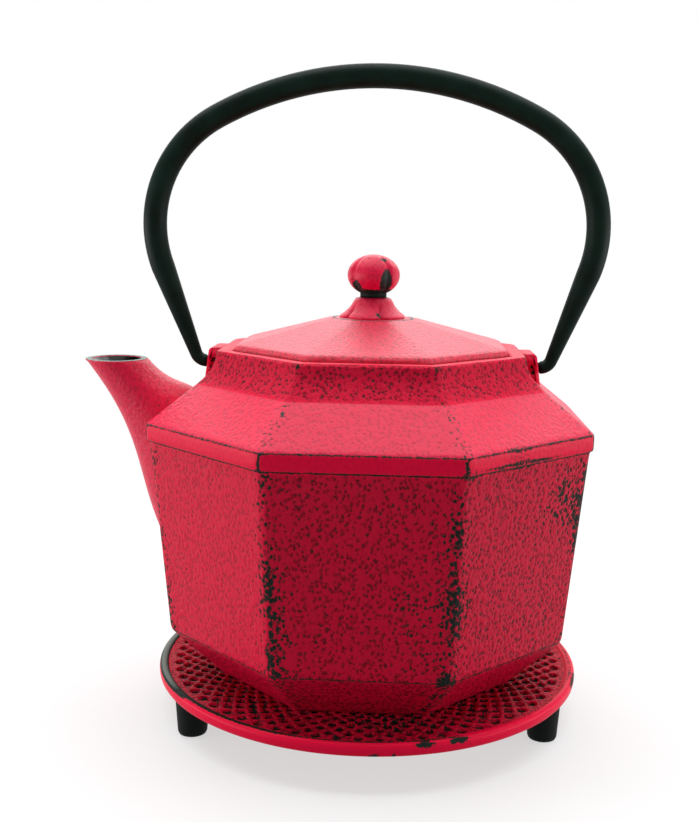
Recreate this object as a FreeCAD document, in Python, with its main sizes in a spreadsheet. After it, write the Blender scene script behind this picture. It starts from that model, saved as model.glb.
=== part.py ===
# Eight-sided cast iron teapot with a bail handle, a lift-off lid, a tea basket and a trivet.
# Millimetres, +Z up. The origin lies on the table under the pot's own axis; the spout points to -X.
import FreeCAD, Part
import math
import os
import Sketcher

SIDES = 8
PETALS = 5
LOBES = 4
LOBE_TURN = -6.0
FOOT_BEARINGS = {"left": 213.0, "right": 333.0, "back": 93.0}
COVE_STEPS = 3
# Rings that shape the spout: shares of its reach, rise, root tilt, mouth radius and root extra
SPOUT_RINGS = (
    (0.0, 0.0, 1.0, 1.15, 1.0),
    (0.15, 0.27, 0.83, 1.25, 1.36),
    (0.37, 0.645, 0.635, 1.155, 0.25),
    (0.72, 0.816, 0.213, 0.945, -0.1),
    (1.0, 1.0, 0.0, 1.0, 0.0),
)
RING_POINTS = 12
DEGREE = 3

SIZES = {
    # Trivet: round plate with a raised rim
    "trivet_radius": 75.0,
    "trivet_plate": 3.0,
    "trivet_rim_height": 4.4,
    "trivet_rim_width": 3.0,
    "trivet_rim_slope": 0.8,
    "trivet_rim_round": 1.3,
    # Rubber feet pushed over cast pegs
    "foot_height": 12.0,
    "foot_inset": 6.6,
    "foot_top_radius": 5.7,
    "foot_bottom_radius": 4.9,
    "foot_round": 1.2,
    "peg_radius": 2.6,
    "peg_length": 6.0,
    "peg_clearance": 0.05,
    # Pot outside: corner radii of the eight-sided levels, each level's height above the last
    "pot_base_radius": 54.0,
    "pot_edge_radius": 72.2,
    "pot_edge_height": 17.9,
    "pot_side_radius": 78.5,
    "pot_side_height": 66.2,
    "band_radius": 79.8,
    "band_height": 5.5,
    "shoulder_radius": 57.0,
    "shoulder_height": 17.0,
    "collar_radius": 55.8,
    "collar_height": 6.9,
    "collar_cove": 4.2,
    # Pot inside
    "pot_wall": 4.0,
    "pot_floor": 5.0,
    "pot_ceiling": 5.0,
    # Mouth: seat for the lid, and below it a round seat for the basket's rim
    "lid_seat_depth": 2.5,
    "lid_clearance": 0.9,
    "basket_seat_depth": 1.2,
    "basket_seat_clearance": 0.4,
    "basket_neck_clearance": 0.9,
    # Spout: its root in the pot's wall, placed from the pot's axis and base, and its level mouth
    "spout_root_out": 63.0,
    "spout_root_up": 53.0,
    "spout_root_tilt": 82.0,
    "spout_root_extra": 9.7,
    "spout_reach": 28.0,
    "spout_rise": 54.8,
    "spout_mouth_radius": 10.9,
    "spout_lip": 2.4,
    "spout_wall": 3.2,
    # Lugs on the collar, placed from the pivot of the handle
    "pivot_drop": 5.9,
    "lug_reach": 57.6,
    "lug_lean": 0.9,
    "lug_width": 15.0,
    "lug_above_pivot": 5.4,
    "lug_below_pivot": 7.0,
    "lug_round": 1.5,
    "lug_scoop_radius": 2.2,
    "lug_scoop_depth": 0.8,
    "pin_radius": 1.8,
    "pin_clearance": 0.06,
    "pin_depth": 5.4,
    "pin_end_clearance": 0.4,
    # Bail handle
    "bail_height": 97.9,
    "bail_radius": 4.1,
    "bail_crown_angle": 28.5,
    "bail_bend_radius": 41.8,
    "bail_lean": 20.8,
    "bail_elbow_radius": 4.0,
    "bail_end_radius": 2.2,
    "bail_lug_gap": 1.1,
    # Lid
    "lid_radius": 49.6,
    "lid_edge": 4.1,
    "lid_rise": 8.9,
    "lid_crown_radius": 15.0,
    "lid_lip": 6.5,
    "lid_wall": 3.5,
    # Blossom seat, knob, and the knob's riveted tail
    "seat_radius": 11.7,
    "seat_height": 7.0,
    "seat_edge": 0.7,
    "seat_waist_radius": 7.6,
    "seat_waist_height": 4.2,
    "seat_top_radius": 5.9,
    "seat_notch_radius": 3.0,
    "seat_notch_depth": 1.6,
    "knob_neck_radius": 4.6,
    "knob_neck_height": 0.6,
    "knob_lobe_offset": 2.5,
    "knob_lobe_radius": 6.6,
    "knob_half_height": 7.1,
    "tail_radius": 2.0,
    "tail_clearance": 0.05,
    "washer_radius": 6.0,
    "washer_thickness": 1.2,
    "rivet_radius": 3.6,
    "rivet_height": 1.6,
    # Tea basket
    "mesh_radius": 39.0,
    "mesh_thickness": 0.6,
    "basket_depth": 58.0,
    "sheet_thickness": 0.5,
    "sheet_clearance": 0.05,
    "basket_rim_width": 3.4,
    "basket_rim_thickness": 1.0,
    "basket_skirt": 9.0,
    "basket_base_skirt": 6.0,
    "basket_base_lip": 4.0,
}

X_AXIS = (1, 0, 0)
Y_AXIS = (0, 1, 0)
Z_AXIS = (0, 0, 1)


class Size:
    """A number kept together with the sheet formula that gives it."""

    def __init__(self, value, formula):
        self.value = value
        self.formula = formula

    def __add__(self, other):
        other = size(other)
        return Size(self.value + other.value, f"({self.formula} + {other.formula})")

    def __sub__(self, other):
        other = size(other)
        return Size(self.value - other.value, f"({self.formula} - {other.formula})")

    def __mul__(self, other):
        other = size(other)
        return Size(self.value * other.value, f"({self.formula} * {other.formula})")

    def __truediv__(self, other):
        other = size(other)
        return Size(self.value / other.value, f"({self.formula} / {other.formula})")

    def __neg__(self):
        return -1 * self

    def __rsub__(self, other):
        return size(other) - self

    __radd__ = __add__
    __rmul__ = __mul__


def size(item):
    return item if isinstance(item, Size) else Size(float(item), f"({item})")


def sine(angle):
    angle = size(angle)
    return Size(math.sin(math.radians(angle.value)), f"sin({angle.formula})")


def cosine(angle):
    angle = size(angle)
    return Size(math.cos(math.radians(angle.value)), f"cos({angle.formula})")


def tangent(angle):
    return sine(angle) / cosine(angle)


class Named:
    """The driving sizes as attributes, each linked to its cell of the sheet."""


doc = FreeCAD.newDocument("teapot")
sheet = doc.addObject("Spreadsheet::Sheet", "Sizes")
for row, (name, number) in enumerate(SIZES.items(), start=1):
    sheet.set(f"A{row}", name)
    sheet.set(f"B{row}", str(number))
    sheet.setAlias(f"B{row}", name)
doc.recompute()
s = Named()
for name in SIZES:
    setattr(s, name, Size(sheet.get(name), f"Sizes.{name}"))

parts = []


def finished(item, label):
    """Keeps an object as a sub-part under its own name."""
    item.Label = label
    parts.append(item)


def bind(item, **links):
    for prop, link in links.items():
        item.setExpression(prop, size(link).formula)
    return item


def place(item, x=0, y=0, z=0, turns=((Z_AXIS, 0),)):
    """Puts an object at x, y, z after its turns, each an axis and an angle; the last turn comes first."""
    point = "; ".join(size(value).formula for value in (x, y, z))
    turned = " * ".join(
        f"rotation(vector({axis[0]}; {axis[1]}; {axis[2]}); {size(angle).formula})" for axis, angle in turns
    )
    item.setExpression("Placement", f"placement(vector({point}); {turned})")
    return item


def primitive(kind, name, **links):
    return bind(doc.addObject(f"Part::{kind}", name), **links)


def cylinder(name, radius, height):
    return primitive("Cylinder", name, Radius=radius, Height=height)


def eight_sided(name, levels):
    """Faceted solid through eight-sided levels, each a corner radius and a height, flats to the axes."""
    rings = []
    for i, (radius, height) in enumerate(levels):
        ring = primitive("RegularPolygon", f"{name}_level_{i}", Circumradius=radius)
        ring.Polygon = SIDES
        rings.append(place(ring, z=height, turns=[(Z_AXIS, 180 / SIDES)]))
    form = doc.addObject("Part::Loft", name)
    form.Sections = rings
    form.Solid = True
    form.Ruled = True
    return form


def fuse(name, shapes):
    joined = doc.addObject("Part::MultiFuse", name)
    joined.Shapes = shapes
    joined.Refine = True
    return joined


def cut(name, base, tool):
    result = doc.addObject("Part::Cut", name)
    result.Base = base
    result.Tool = tool
    return result


def mirrored(name, source):
    """The same form on the other side of the YZ plane."""
    image = doc.addObject("Part::Mirroring", name)
    image.Source = source
    image.Normal = FreeCAD.Vector(1, 0, 0)
    return image


def sketch_on(body, role, name):
    sketch = body.newObject("Sketcher::SketchObject", name)
    sketch.AttachmentSupport = (next(item for item in body.Origin.OriginFeatures if item.Role == role), "")
    sketch.MapMode = "FlatFace"
    return sketch


def constrain(sketch, kind, link, *ends):
    index = sketch.addConstraint(Sketcher.Constraint(kind, *ends, link.value))
    sketch.setExpression(f"Constraints[{index}]", link.formula)


def outline(body, name, corners):
    """Closed outline on the body's XZ plane; each corner is a reach and a height bound to sizes."""
    sketch = sketch_on(body, "XZ_Plane", name)
    corners = [(size(x), size(z)) for x, z in corners]
    points = [FreeCAD.Vector(x.value, z.value, 0) for x, z in corners]
    for start, end in zip(points, points[1:] + points[:1]):
        sketch.addGeometry(Part.LineSegment(start, end))
    for i, corner in enumerate(corners):
        before = (i - 1) % len(corners)
        sketch.addConstraint(Sketcher.Constraint("Coincident", before, 2, i, 1))
        for kind, axis, link in zip(("DistanceX", "DistanceY"), (-2, -1), corner):
            if link.value == 0:
                sketch.addConstraint(Sketcher.Constraint("PointOnObject", i, 1, axis))
            else:
                constrain(sketch, kind, link, -1, 1, i, 1)
    return sketch


def turned(name, corners):
    """Body of revolution about the Z axis."""
    body = doc.addObject("PartDesign::Body", name)
    sketch = outline(body, f"{name}_outline", corners)
    spin = body.newObject("PartDesign::Revolution", f"{name}_turn")
    spin.Profile = sketch
    spin.ReferenceAxis = (sketch, ["V_Axis"])
    spin.Angle = 360
    doc.recompute()
    return body


def round_edges(body, radius, chosen):
    """Rounds those edges of the body's last feature that the test picks."""
    last = body.Tip
    names = [f"Edge{i}" for i, edge in enumerate(last.Shape.Edges, start=1) if chosen(edge)]
    rounding = body.newObject("PartDesign::Fillet", f"{body.Name}_round")
    rounding.Base = (last, names)
    bind(rounding, Radius=radius)
    doc.recompute()


# Trivet: the rim stands above the floor that the pot rests on; pegs below carry the rubber feet
floor = s.foot_height + s.trivet_plate
rim_top = s.foot_height + s.trivet_rim_height
rim_inner = s.trivet_radius - s.trivet_rim_width
plate = turned("trivet_casting", [
    (0, s.foot_height),
    (s.trivet_radius, s.foot_height),
    (s.trivet_radius, rim_top),
    (rim_inner, rim_top),
    (rim_inner - s.trivet_rim_slope, floor),
    (0, floor),
])
round_edges(plate, s.trivet_rim_round,
            lambda edge: edge.Closed and edge.BoundBox.XMax > s.trivet_radius.value - 0.01)

peg_bottom = s.foot_height - s.peg_length
socket_radius = s.peg_radius + s.peg_clearance
socket_floor = peg_bottom - s.peg_clearance
foot_circle = s.trivet_radius - s.foot_inset
pegs = []
for side, bearing in FOOT_BEARINGS.items():
    foot_x = foot_circle * cosine(bearing)
    foot_y = foot_circle * sine(bearing)
    peg = cylinder(f"peg_{side}", s.peg_radius, s.peg_length)
    pegs.append(place(peg, foot_x, foot_y, peg_bottom))
    foot = turned(f"foot_{side}", [
        (0, 0),
        (s.foot_bottom_radius, 0),
        (s.foot_top_radius, s.foot_height),
        (socket_radius, s.foot_height),
        (socket_radius, socket_floor),
        (0, socket_floor),
    ])
    round_edges(foot, s.foot_round, lambda edge: edge.Closed and edge.BoundBox.ZMax < 0.01)
    finished(place(foot, foot_x, foot_y), f"trivet_foot_{side}")
finished(fuse("trivet", [plate] + pegs), "trivet_plate")

# Pot outside: tapered bowl, raised band, sloping shoulder and upright collar
edge_level = floor + s.pot_edge_height
side_top = edge_level + s.pot_side_height
band_top = side_top + s.band_height
shoulder_top = band_top + s.shoulder_height
collar_top = shoulder_top + s.collar_height
bowl = eight_sided("bowl", [
    (s.pot_base_radius, floor),
    (s.pot_edge_radius, edge_level),
    (s.pot_side_radius, side_top),
])
band = eight_sided("band", [(s.band_radius, side_top), (s.band_radius, band_top)])
slope_out = s.band_radius - s.shoulder_radius
cove_out = s.shoulder_radius + s.collar_cove * slope_out / s.shoulder_height
cove_in = s.shoulder_radius - s.collar_cove * (s.shoulder_radius - s.collar_radius) / s.collar_height
shoulder_levels = [(s.band_radius, band_top)]
for step in range(COVE_STEPS + 1):
    along = step / COVE_STEPS
    below, corner, above = (1 - along) ** 2, 2 * along * (1 - along), along ** 2
    shoulder_levels.append((
        below * cove_out + corner * s.shoulder_radius + above * cove_in,
        shoulder_top + (above - below) * s.collar_cove,
    ))
shoulder = eight_sided("shoulder", shoulder_levels + [(s.collar_radius, collar_top)])

# Mouth: eight-sided seat for the lid, then a round seat and a neck for the basket
lid_seat = collar_top - s.lid_seat_depth
basket_seat = lid_seat - s.basket_seat_depth
ceiling = basket_seat - s.pot_ceiling
skirt_radius = s.mesh_radius + s.sheet_clearance + s.sheet_thickness
basket_rim_radius = skirt_radius + s.basket_rim_width
mouth_radius = s.lid_radius + s.lid_clearance
lid_recess = eight_sided("lid_recess", [(mouth_radius, lid_seat), (mouth_radius, collar_top + s.lid_seat_depth)])
basket_recess = cylinder("basket_recess", basket_rim_radius + s.basket_seat_clearance, 2 * s.basket_seat_depth)
place(basket_recess, z=basket_seat)
neck = cylinder("basket_neck", skirt_radius + s.basket_neck_clearance, 2 * s.pot_ceiling)
place(neck, z=ceiling - s.pot_ceiling / 2)

# Pot inside: the outside levels drawn in by the wall
corner_wall = s.pot_wall / cosine(180 / SIDES)
cavity = eight_sided("cavity", [
    (s.pot_base_radius - corner_wall / 2, floor + s.pot_floor),
    (s.pot_edge_radius - corner_wall, edge_level + s.pot_wall / 2),
    (s.pot_side_radius - corner_wall, band_top - s.pot_wall / 2),
    (s.shoulder_radius - corner_wall - s.pot_wall / 2, ceiling),
])


# Spout: a hollow tapering tube that leans out of the pot's wall and opens level
def spout_ring(shares, inset, back=0):
    """Points that draw an oval across the spout, drawn in by inset and set back towards the pot's axis."""
    out, up, tilt, width, extra = shares
    half_width = (width * s.spout_mouth_radius - inset).value
    half_height = half_width + (extra * s.spout_root_extra).value
    centre = FreeCAD.Vector(
        -(s.spout_root_out + out * s.spout_reach - back).value, 0,
        (floor + s.spout_root_up + up * s.spout_rise).value)
    tilted = FreeCAD.Rotation(FreeCAD.Vector(0, -1, 0), (tilt * s.spout_root_tilt).value)
    turn = 2 * math.pi / RING_POINTS
    # A closed smooth curve runs inside its points by this much
    grow = 3 / (2 + math.cos(turn))
    return [
        centre + tilted.multVec(FreeCAD.Vector(
            grow * half_height * math.cos(turn * k), grow * half_width * math.sin(turn * k), 0))
        for k in range(RING_POINTS)
    ]


def spout_tube(name, rings):
    """Smooth solid drawn by the rings and closed by a flat face at each end."""
    surface = Part.BSplineSurface()
    surface.buildFromPolesMultsKnots(
        [list(line) for line in zip(*rings)],
        [1] * (RING_POINTS + 1),
        [DEGREE + 1] + [1] * (len(rings) - DEGREE - 1) + [DEGREE + 1],
        list(range(RING_POINTS + 1)),
        list(range(len(rings) - DEGREE + 1)),
        True, False, DEGREE, DEGREE)
    side = surface.toShape()
    ends = [Part.Face(Part.Wire([edge])) for edge in side.Edges if edge.Closed]
    skin = Part.makeCompound([side] + ends)
    skin.sewShape()
    tube = doc.addObject("Part::Feature", name)
    tube.Shape = Part.makeSolid(skin.Shells[0])
    return tube


spout = spout_tube("spout", [spout_ring(shares, 0) for shares in SPOUT_RINGS])
spout_bore = spout_tube("spout_bore", [
    spout_ring(SPOUT_RINGS[0], s.spout_wall, 2 * s.pot_wall),
] + [
    spout_ring(shares, s.spout_wall + shares[0] * (s.spout_lip - s.spout_wall)) for shares in SPOUT_RINGS
])

# Lugs: blocks on the collar's left and right faces, drilled for the handle's pins
pivot = collar_top - s.pivot_drop
lug_inner = s.collar_radius * cosine(180 / SIDES) - s.pot_wall / 2
lug_top = pivot + s.lug_above_pivot
lug_bottom = pivot - s.lug_below_pivot
lug = doc.addObject("PartDesign::Body", "lug")
lug_outline = outline(lug, "lug_outline", [
    (lug_inner, lug_bottom),
    (s.lug_reach + s.lug_lean, lug_bottom),
    (s.lug_reach - s.lug_lean, lug_top),
    (lug_inner, lug_top),
])
lug_pad = lug.newObject("PartDesign::Pad", "lug_pad")
lug_pad.Profile = lug_outline
lug_pad.Midplane = True
bind(lug_pad, Length=s.lug_width)
doc.recompute()
lug_face = s.lug_reach - s.lug_lean
round_edges(lug, s.lug_round, lambda edge: edge.BoundBox.XMin > lug_face.value - 0.01)

hole_depth = s.pin_depth + s.pin_end_clearance
pin_hole = cylinder("pin_hole", s.pin_radius + s.pin_clearance, 2 * hole_depth)
place(pin_hole, s.lug_reach - hole_depth, 0, pivot, [(Y_AXIS, 90)])
scoops = []
for side, sign in (("front", -1), ("back", 1)):
    scoop = cylinder(f"scoop_{side}", s.lug_scoop_radius, 2 * s.lug_scoop_depth)
    scoop_y = sign * s.lug_width / 2 + s.lug_scoop_depth
    scoops.append(place(scoop, s.lug_reach - s.pin_depth / 2, scoop_y, pivot, [(X_AXIS, 90)]))
lug_cuts = fuse("lug_cuts", [pin_hole] + scoops)

solid_pot = fuse("solid_pot", [bowl, band, shoulder, spout, lug, mirrored("lug_left", lug)])
hollows = fuse("hollows", [
    cavity, neck, basket_recess, lid_recess, spout_bore, lug_cuts, mirrored("lug_cuts_left", lug_cuts),
])
finished(cut("pot", solid_pot, hollows), "pot_body")

# Bail handle: a round bar bent to a crown and two shoulders, with legs that taper to inward pins
bail_top = pivot + s.bail_height
elbow_x = s.lug_reach + s.bail_lug_gap
elbow_run = s.bail_elbow_radius * tangent((90 - s.bail_lean) / 2)
lean_sine = sine(s.bail_lean)
lean_cosine = cosine(s.bail_lean)
lean_tangent = tangent(s.bail_lean)
crown_sine = sine(s.bail_crown_angle)
crown_cosine = cosine(s.bail_crown_angle)
# The crown's radius is the one that brings the legs down to the lugs
crown_radius = (
    elbow_x + elbow_run + s.bail_height * lean_tangent
    + s.bail_bend_radius * (crown_sine - lean_cosine - (crown_cosine + lean_sine) * lean_tangent)
) / (crown_sine + lean_tangent * (1 - crown_cosine))
crown_z = bail_top - crown_radius
bend_x = (crown_radius - s.bail_bend_radius) * crown_sine
bend_z = crown_z + (crown_radius - s.bail_bend_radius) * crown_cosine
leg_x = bend_x + s.bail_bend_radius * lean_cosine
leg_z = bend_z - s.bail_bend_radius * lean_sine


def bent_bar(name, radius, thickness, x, z, start, sweep):
    """Round bar bent about x, z in the XZ plane; angles run from +X towards +Z."""
    bar = primitive("Torus", name, Radius1=radius, Radius2=thickness, Angle3=sweep)
    return place(bar, x, 0, z, [(X_AXIS, 90), (Z_AXIS, start)])


crown = bent_bar("bail_crown", crown_radius, s.bail_radius, 0, crown_z,
                 90 - s.bail_crown_angle, 2 * s.bail_crown_angle)
bend = bent_bar("bail_bend", s.bail_bend_radius, s.bail_radius, bend_x, bend_z,
                -s.bail_lean, 90 - s.bail_crown_angle + s.bail_lean)
leg = primitive("Cone", "bail_leg", Radius1=s.bail_radius, Radius2=s.bail_end_radius,
                Height=(leg_z - pivot) / lean_cosine - elbow_run)
place(leg, leg_x, 0, leg_z, [(Y_AXIS, 180 + s.bail_lean)])
elbow = bent_bar("bail_elbow", s.bail_elbow_radius, s.bail_end_radius, elbow_x,
                 pivot + s.bail_elbow_radius, -90, 90 - s.bail_lean)
pin = cylinder("bail_pin", s.pin_radius, s.pin_depth + s.bail_lug_gap)
place(pin, s.lug_reach - s.pin_depth, 0, pivot, [(Y_AXIS, 90)])
bail_side = fuse("bail_side", [bend, leg, elbow, pin])
finished(fuse("bail", [crown, bail_side, mirrored("bail_side_left", bail_side)]), "bail_handle")

# Lid: a low eight-sided cap, hollow below, with a hole for the knob's tail
lid_edge = lid_seat + s.lid_edge
lid_top = lid_edge + s.lid_rise
lid_under = lid_top - s.lid_wall
lid_form = eight_sided("lid_form", [
    (s.lid_radius, lid_seat),
    (s.lid_radius, lid_edge),
    (s.lid_crown_radius, lid_top),
])
lid_hollow = eight_sided("lid_hollow", [
    (s.lid_radius - s.lid_lip, lid_seat),
    (s.lid_crown_radius, lid_under),
])
tail_hole_radius = s.tail_radius + s.tail_clearance
tail_hole = place(cylinder("tail_hole", tail_hole_radius, 3 * s.lid_wall), z=lid_under - s.lid_wall)
finished(cut("lid_casting", lid_form, fuse("lid_cuts", [lid_hollow, tail_hole])), "lid")

# Knob seat: a flared blossom whose petals are parted by notches round its foot
seat_top = lid_top + s.seat_height
seat = turned("seat", [
    (tail_hole_radius, lid_top),
    (s.seat_radius, lid_top),
    (s.seat_radius, lid_top + s.seat_edge),
    (s.seat_waist_radius, lid_top + s.seat_waist_height),
    (s.seat_top_radius, seat_top),
    (tail_hole_radius, seat_top),
])
whole_seat = seat.Shape.Volume
notch_x = s.seat_radius + s.seat_notch_radius - s.seat_notch_depth
notch_outline = sketch_on(seat, "XY_Plane", "notch_outline")
notch_centre = FreeCAD.Vector(notch_x.value, 0, 0)
notch_outline.addGeometry(Part.Circle(notch_centre, FreeCAD.Vector(0, 0, 1), s.seat_notch_radius.value))
notch_outline.addConstraint(Sketcher.Constraint("PointOnObject", 0, 3, -1))
constrain(notch_outline, "DistanceX", notch_x, -1, 1, 0, 3)
constrain(notch_outline, "Radius", s.seat_notch_radius, 0)
notch = seat.newObject("PartDesign::Pocket", "notch")
notch.Profile = notch_outline
notch.Type = "ThroughAll"
notch.Reversed = True
doc.recompute()
petals = seat.newObject("PartDesign::PolarPattern", "petals")
petals.Originals = [notch]
petals.Axis = (notch_outline, ["N_Axis"])
petals.Angle = 360
petals.Occurrences = PETALS
seat.Tip = petals
doc.recompute()
if seat.Shape.Volume > whole_seat - 1:
    raise RuntimeError("the notches between the petals cut nothing")
finished(seat, "knob_seat")

# Knob: lobes on a short neck; its tail goes through seat and lid and is riveted over a washer
washer_under = lid_under - s.washer_thickness
knob_z = seat_top + s.knob_neck_height + s.knob_half_height
knob_pieces = []
for i in range(LOBES):
    bearing = LOBE_TURN + i * 360 / LOBES
    lobe = primitive("Ellipsoid", f"knob_lobe_{i}", Radius1=s.knob_half_height,
                     Radius2=s.knob_lobe_radius, Radius3=s.knob_lobe_radius)
    place(lobe, s.knob_lobe_offset * cosine(bearing), s.knob_lobe_offset * sine(bearing), knob_z)
    knob_pieces.append(lobe)
knob_neck = cylinder("knob_neck", s.knob_neck_radius, s.knob_neck_height + s.knob_half_height / 2)
knob_tail = cylinder("knob_tail", s.tail_radius, seat_top - washer_under)
rivet = primitive("Cone", "knob_rivet", Radius1=s.tail_radius, Radius2=s.rivet_radius, Height=s.rivet_height)
knob_pieces.append(place(knob_neck, z=seat_top))
knob_pieces.append(place(knob_tail, z=washer_under))
knob_pieces.append(place(rivet, z=washer_under - s.rivet_height))
finished(fuse("knob", knob_pieces), "lid_knob")
finished(turned("washer", [
    (tail_hole_radius, washer_under),
    (s.washer_radius, washer_under),
    (s.washer_radius, lid_under),
    (tail_hole_radius, lid_under),
]), "knob_washer")

# Tea basket: a rim that hangs on the round seat, a mesh tube inside its skirt, and a ringed mesh floor
mesh_inner = s.mesh_radius - s.mesh_thickness
sleeve = s.mesh_radius + s.sheet_clearance
basket_rim_top = basket_seat + s.basket_rim_thickness
skirt_end = basket_seat - s.basket_skirt
basket_bottom = basket_seat - s.basket_depth
ring_floor = basket_bottom + s.sheet_thickness
ring_top = basket_bottom + s.basket_base_skirt
ring_lip = s.mesh_radius - s.basket_base_lip
mesh_bottom = ring_floor + s.mesh_thickness
finished(turned("basket_rim", [
    (sleeve, skirt_end),
    (skirt_radius, skirt_end),
    (skirt_radius, basket_seat),
    (basket_rim_radius, basket_seat),
    (basket_rim_radius, basket_rim_top),
    (sleeve, basket_rim_top),
]), "infuser_rim")
finished(turned("basket_wall", [
    (mesh_inner, mesh_bottom),
    (s.mesh_radius, mesh_bottom),
    (s.mesh_radius, basket_seat),
    (mesh_inner, basket_seat),
]), "infuser_wall")
finished(turned("basket_base", [
    (ring_lip, basket_bottom),
    (skirt_radius, basket_bottom),
    (skirt_radius, ring_top),
    (sleeve, ring_top),
    (sleeve, ring_floor),
    (ring_lip, ring_floor),
]), "infuser_base_ring")
finished(turned("basket_floor", [
    (0, ring_floor),
    (s.mesh_radius, ring_floor),
    (s.mesh_radius, mesh_bottom),
    (0, mesh_bottom),
]), "infuser_floor")

doc.recompute()
for item in doc.Objects:
    if {"Invalid", "Error"} & set(item.State):
        raise RuntimeError(f"{item.Label} failed: {item.State}")
for item in parts:
    if item.Shape.isNull() or not item.Shape.isValid() or not item.Shape.Solids:
        raise RuntimeError(f"{item.Label} has no valid solid")

os.makedirs("parts", exist_ok=True)
for item in parts:
    item.Shape.exportStep(f"parts/{item.Label}.step")
    box = item.Shape.BoundBox
    print(f"{item.Label}: {len(item.Shape.Solids)} solid, {item.Shape.Volume / 1000:.2f} cm3,"
          f" z {box.ZMin:.2f} to {box.ZMax:.2f}, x {box.XMin:.2f} to {box.XMax:.2f}")
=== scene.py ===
import math

import bmesh
import bpy
from mathutils import Matrix, Quaternion, Vector


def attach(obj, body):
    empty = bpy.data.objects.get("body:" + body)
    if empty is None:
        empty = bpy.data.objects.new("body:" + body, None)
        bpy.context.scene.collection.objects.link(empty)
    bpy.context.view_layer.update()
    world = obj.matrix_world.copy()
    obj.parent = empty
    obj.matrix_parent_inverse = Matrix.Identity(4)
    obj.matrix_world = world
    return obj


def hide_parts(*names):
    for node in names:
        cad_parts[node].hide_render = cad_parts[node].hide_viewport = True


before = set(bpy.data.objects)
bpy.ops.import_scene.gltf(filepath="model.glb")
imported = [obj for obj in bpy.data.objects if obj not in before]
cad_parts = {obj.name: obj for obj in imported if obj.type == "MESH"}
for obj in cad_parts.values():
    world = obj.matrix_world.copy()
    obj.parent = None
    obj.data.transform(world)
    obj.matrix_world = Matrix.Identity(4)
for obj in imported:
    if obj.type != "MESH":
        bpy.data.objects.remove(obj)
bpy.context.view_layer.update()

# Trivet plate: a round dish of cast iron with a low rim, painted like the pot. Its floor is covered with
# staggered rows of small dents that leave a lattice of ridges under the hot pot. Cast in one piece.
MM = 0.001
TRIVET_RADIUS = 75.0
TRIVET_UNDER, TRIVET_FLOOR, TRIVET_RIM = 12.0, 15.0, 16.4
RIM_START, FLOOR_REACH, RIM_EDGE = 71.0, 71.5, 72.2
SECTORS, RIM_CUTS = 64, 3
DENTS_OUT, DENTS_IN, DENT_STEP = 70.8, 24.0, 0.916
# Each dent is pressed in twice: how much narrower and how much deeper, as shares of its width
DENT_PRESSES = ((0.045, 0.02), (0.06, 0.32))
# The floor is bared darker round the pot's foot out to this reach, and a little past it, as painted shadow
# of the pot
POT_SHADOW_REACH, POT_SHADOW_FADE = 56.0, 7.0
# Section of the dish as reach and height, from the middle of its underside out and over the rim
DISH_SECTION = [
    (0, TRIVET_UNDER), (40, TRIVET_UNDER), (72.5, TRIVET_UNDER), (73.8, 12.05), (74.7, 12.5),
    (TRIVET_RADIUS, 13.3), (TRIVET_RADIUS, 15.1), (74.7, 15.9), (74.0, 16.35), (73.2, TRIVET_RIM),
    (72.4, 16.3), (71.9, 15.9), (71.6, 15.3), (71.2, 15.03),
]
# Chipped places on the rim: bearing in degrees from the front, half width in degrees, height, strength
RIM_CHIPS = (
    (16.0, 2.8, 15.7, 1.0), (24.5, 3.3, 15.7, 1.0), (4.0, 1.6, 12.7, 1.0), (8.5, 1.2, 12.7, 1.0),
    (76.0, 6.0, 15.4, 1.0), (58.0, 2.0, 12.3, 0.9), (131.0, 5.0, 15.4, 1.0), (-139.0, 3.5, 15.6, 1.0),
)
# Stretches where the top of the rim is rubbed bare: bearing, half width, reach, half breadth, strength
RIM_RUBS = (
    (-84.0, 34.0, 73.4, 1.7, 1.5), (-36.0, 26.0, 72.9, 1.2, 1.1), (4.0, 26.0, 72.8, 0.9, 0.8),
    (88.0, 20.0, 73.3, 1.2, 0.58), (56.0, 26.0, 72.7, 0.8, 0.6), (170.0, 34.0, 73.2, 1.1, 0.75),
)


def linear(hex_colour):
    """sRGB hex to the linear colour that shaders use."""
    parts = [int(hex_colour[i:i + 2], 16) / 255 for i in (1, 3, 5)]
    return [c / 12.92 if c <= 0.04045 else ((c + 0.055) / 1.055) ** 2.4 for c in parts] + [1.0]


def node(tree, kind, inputs=None, **settings):
    """Adds a shader node, sets it, and fills its sockets with values or links."""
    made = tree.nodes.new("ShaderNode" + kind)
    for name, value in settings.items():
        setattr(made, name, value)
    for socket, value in (inputs or {}).items():
        if isinstance(value, bpy.types.NodeSocket):
            tree.links.new(value, made.inputs[socket])
        else:
            made.inputs[socket].default_value = value
    return made


# Worn crimson paint: a thin satin coat on a sand casting. The sand leaves pits a little over 1 mm apart,
# taller than wide; the coat is rubbed off round them, on corners and along edges, where green-black iron
# shows through. Down in the pits the coat is painted darker, as painted shade in these hollows.
PIT_SPACING, PIT_TALL, PIT_WARP, PIT_DEPTH = 1.25, 1.3, 1.9, 0.55
RAGGED, PATCH = 0.7, 15.0


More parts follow.
